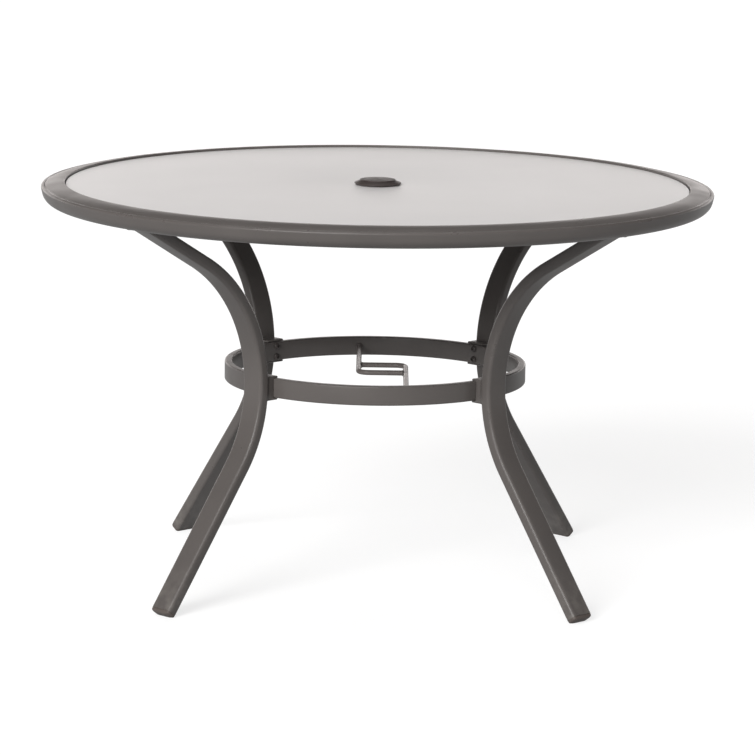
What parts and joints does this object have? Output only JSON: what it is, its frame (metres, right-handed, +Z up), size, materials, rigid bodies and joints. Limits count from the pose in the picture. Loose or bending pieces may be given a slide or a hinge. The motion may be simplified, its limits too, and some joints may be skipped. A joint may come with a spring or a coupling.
{
  "type": "umbrella patio table",
  "caption": "Round patio table with a frosted glass top in a crowned metal rim, a capped umbrella hole, bowed tube legs and a stretcher ring with pole guide rods.",
  "frame": {"origin": "on the floor, on the upright axis of the umbrella hole", "axes": "+Z up through the umbrella hole; -Y is the front, between the two front legs; +X to the right"},
  "size_m": [1.219, 1.219, 0.7341],
  "materials": {
    "frame": "satin powder coat, warm grey",
    "glass": "frosted tempered glass, pale grey",
    "plastic": "moulded, dark warm grey",
    "gasket": "soft vinyl",
    "fastener": "dark coated steel",
    "insert": "zinc plated"
  },
  "bodies": {
    "table": {"top_rim": "frame", "glass_gasket": "gasket", "glass_top": "glass", "umbrella_ring": "plastic", "stretcher_ring": "frame", "guide_rod_back": "frame", "guide_rod_front": "frame", "leg_front_right": "frame", "glide_front_right": "plastic", "top_plate_front_right": "frame", "saddle_front_right": "frame", "plate_screw_front_right_a": "fastener", "plate_screw_front_right_b": "fastener", "bolt_front_right_upper": "fastener", "insert_front_right_upper": "insert", "bolt_front_right_lower": "fastener", "insert_front_right_lower": "insert", "leg_back_right": "frame", "glide_back_right": "plastic", "top_plate_back_right": "frame", "saddle_back_right": "frame", "plate_screw_back_right_a": "fastener", "plate_screw_back_right_b": "fastener", "bolt_back_right_upper": "fastener", "insert_back_right_upper": "insert", "bolt_back_right_lower": "fastener", "insert_back_right_lower": "insert", "leg_back_left": "frame", "glide_back_left": "plastic", "top_plate_back_left": "frame", "saddle_back_left": "frame", "plate_screw_back_left_a": "fastener", "plate_screw_back_left_b": "fastener", "bolt_back_left_upper": "fastener", "insert_back_left_upper": "insert", "bolt_back_left_lower": "fastener", "insert_back_left_lower": "insert", "leg_front_left": "frame", "glide_front_left": "plastic", "top_plate_front_left": "frame", "saddle_front_left": "frame", "plate_screw_front_left_a": "fastener", "plate_screw_front_left_b": "fastener", "bolt_front_left_upper": "fastener", "insert_front_left_upper": "insert", "bolt_front_left_lower": "fastener", "insert_front_left_lower": "insert"},
    "cap": {"umbrella_cap": "plastic"}
  },
  "joints": [
    {"name": "cap_lift", "type": "slide", "parent": "table", "child": "cap", "axis": [0, 0, 1], "range_m": [0, 0.06]}
  ]
}
